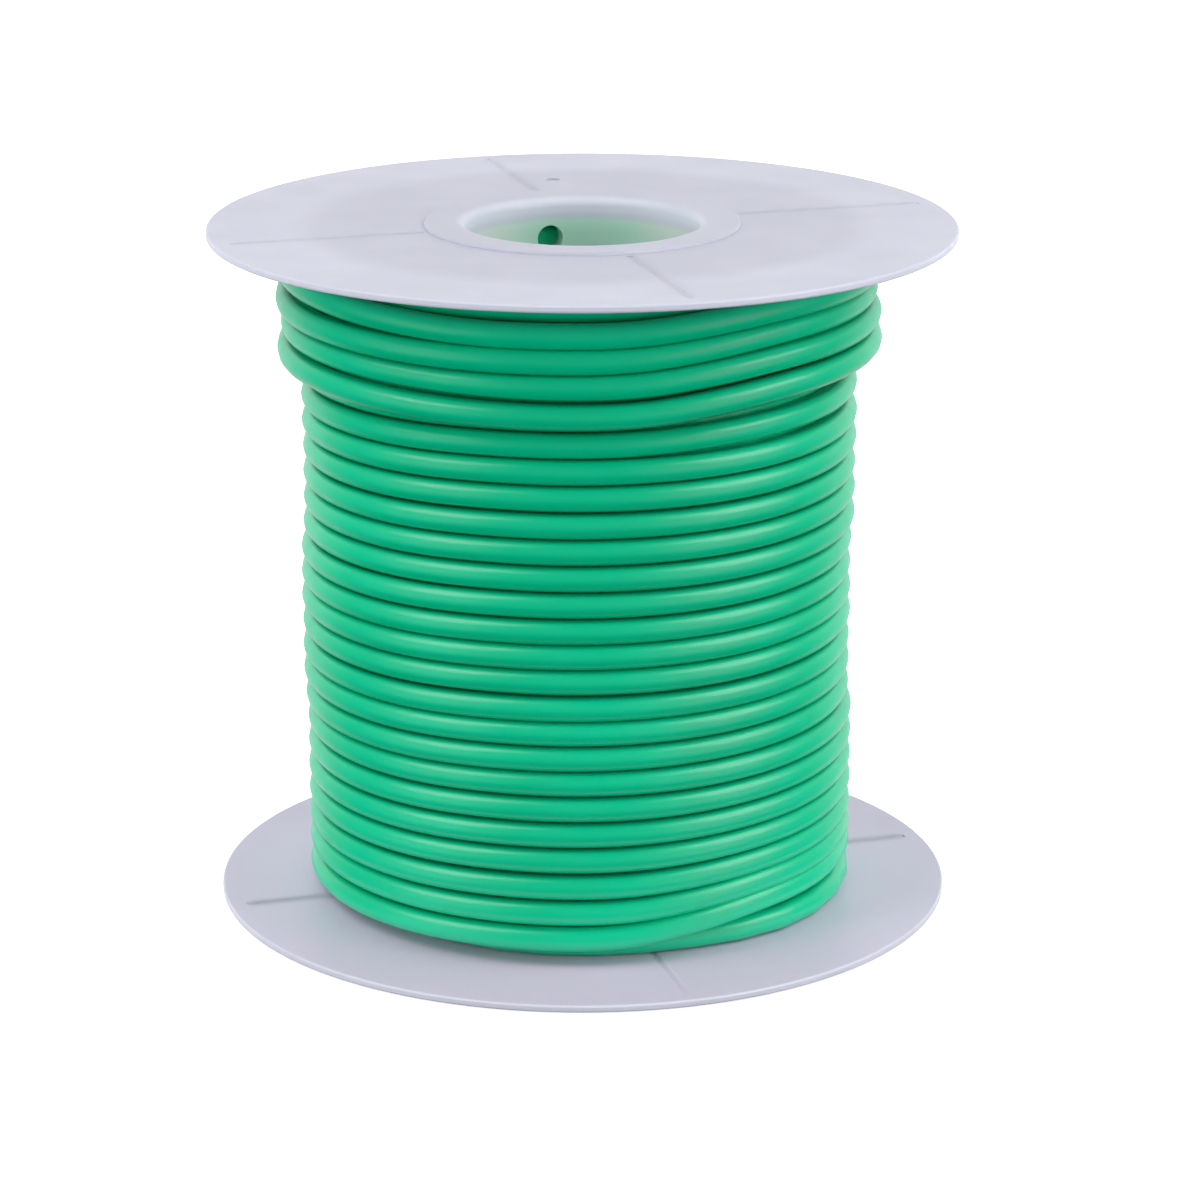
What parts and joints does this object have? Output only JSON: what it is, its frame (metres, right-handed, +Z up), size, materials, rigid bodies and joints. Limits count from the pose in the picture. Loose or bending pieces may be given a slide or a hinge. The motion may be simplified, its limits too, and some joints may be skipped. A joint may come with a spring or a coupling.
{
  "type": "wire spool",
  "caption": "Short thin-walled plastic spool with thin round flanges and an open bore, closely wound with green insulated stranded wire.",
  "frame": {"origin": "centre of the underside, on the spool's axis, where the bottom flange's boss rests", "axes": "+Z up along the spool's axis; +Y points to the back, away from the viewer; the wire-start hole near the top flange is at azimuth 106.5 degrees from +X"},
  "size_m": [0.08, 0.08, 0.0748],
  "materials": {
    "spool_plastic": "natural translucent moulded plastic, cool white, semi-matt",
    "barrel_plastic": "the same plastic, thin enough for the green wire to show through",
    "wire_jacket": "green thin-wall vinyl insulation, smooth and glossy",
    "copper": "bare annealed copper strands"
  },
  "bodies": {
    "root": {"bottom_flange": "spool_plastic", "top_flange": "spool_plastic", "barrel": "barrel_plastic", "wire_winding": "wire_jacket", "wire_last_turn": "wire_jacket", "wire_end_strands": "copper"}
  },
  "joints": []
}
